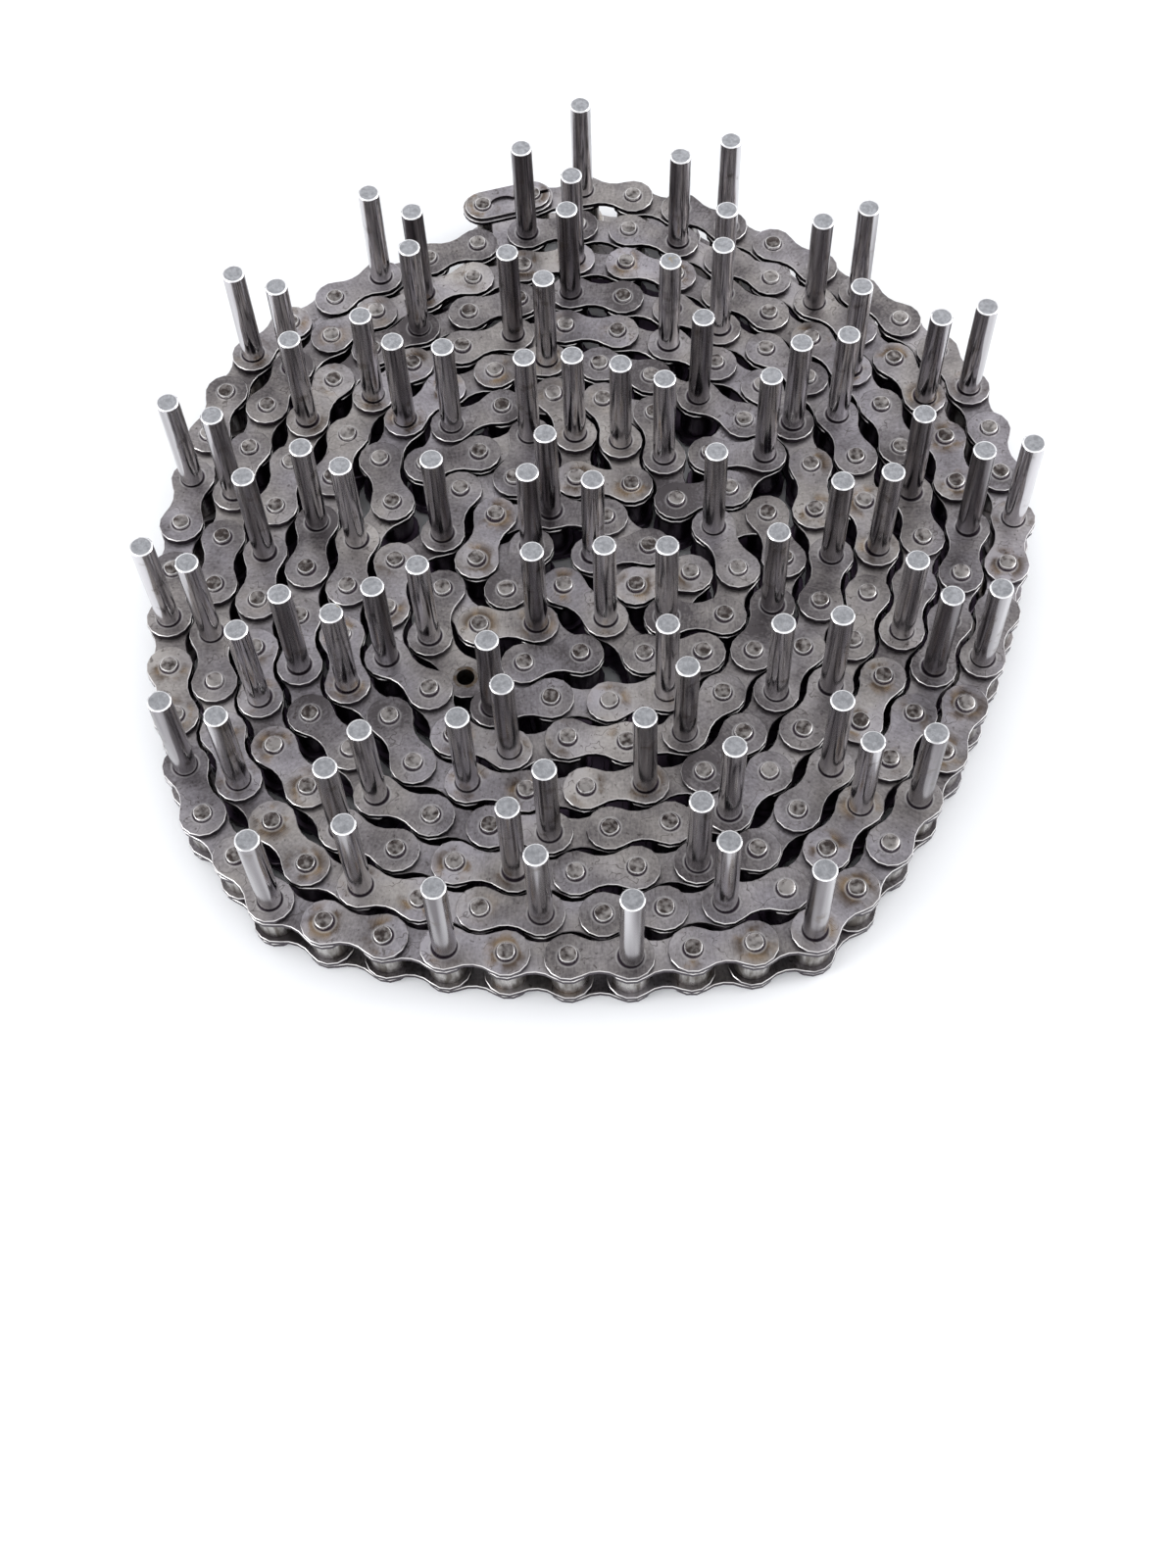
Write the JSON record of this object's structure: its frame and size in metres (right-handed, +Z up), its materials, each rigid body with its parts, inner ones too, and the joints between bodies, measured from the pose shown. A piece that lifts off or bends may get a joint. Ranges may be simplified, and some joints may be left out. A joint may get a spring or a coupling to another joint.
{
  "type": "coil of roller chain with extended pins",
  "caption": "Loose coil of steel roller chain lying on its side, with a long round pin standing up from every third joint and a spring-clip connecting link at its free end.",
  "frame": {"origin": "middle of the coil's box, on the floor that it lies on", "axes": "+Z up along the pins, -Y towards the camera side of the coil, the free end at +Y"},
  "size_m": [0.2984, 0.3245, 0.0632],
  "materials": {
    "chain_steel": "satin oiled steel plates, rollers and pins",
    "spring_steel": "bright rolled spring steel"
  },
  "bodies": {
    "coil": {"chain_run_01": "chain_steel", "chain_run_02": "chain_steel", "chain_run_03": "chain_steel", "chain_run_04": "chain_steel", "chain_run_05": "chain_steel", "chain_run_06": "chain_steel", "chain_run_07": "chain_steel", "chain_run_08": "chain_steel", "chain_run_09": "chain_steel", "chain_run_10": "chain_steel", "chain_run_11": "chain_steel", "chain_run_12": "chain_steel", "chain_run_13": "chain_steel", "chain_run_14": "chain_steel", "chain_run_15": "chain_steel", "chain_run_16": "chain_steel", "chain_run_17": "chain_steel", "chain_run_18": "chain_steel", "chain_run_19": "chain_steel", "chain_run_20": "chain_steel", "chain_run_21": "chain_steel", "chain_run_22": "chain_steel", "chain_run_23": "chain_steel", "chain_run_24": "chain_steel", "chain_run_25": "chain_steel", "chain_run_26": "chain_steel", "chain_run_27": "chain_steel", "chain_run_28": "chain_steel", "chain_run_29": "chain_steel", "chain_run_30": "chain_steel", "chain_run_31": "chain_steel", "chain_run_32": "chain_steel", "chain_run_33": "chain_steel", "chain_run_34": "chain_steel", "chain_run_35": "chain_steel", "chain_run_36": "chain_steel", "chain_run_37": "chain_steel", "chain_run_38": "chain_steel", "chain_run_39": "chain_steel", "chain_run_40": "chain_steel", "chain_run_41": "chain_steel", "chain_run_42": "chain_steel", "chain_run_43": "chain_steel", "chain_run_44": "chain_steel"},
    "outer_link": {"end_outer_link": "chain_steel"},
    "inner_link": {"end_inner_link": "chain_steel"},
    "connector": {"connecting_link": "chain_steel", "connecting_plate": "chain_steel", "spring_clip": "spring_steel"}
  },
  "joints": [
    {"name": "outer_link_pivot", "type": "hinge", "parent": "coil", "child": "outer_link", "pos_m": [0.01104, 0.15254, 0.01], "axis": [0, 0, -1], "range_deg": [0, 60]},
    {"name": "inner_link_pivot", "type": "hinge", "parent": "outer_link", "child": "inner_link", "pos_m": [-0.0078, 0.15535, 0.01], "axis": [0, 0, -1], "range_deg": [0, 60]},
    {"name": "connector_pivot", "type": "hinge", "parent": "inner_link", "child": "connector", "pos_m": [-0.0266, 0.15228, 0.01], "axis": [0, 0, -1], "range_deg": [0, 60]}
  ]
}
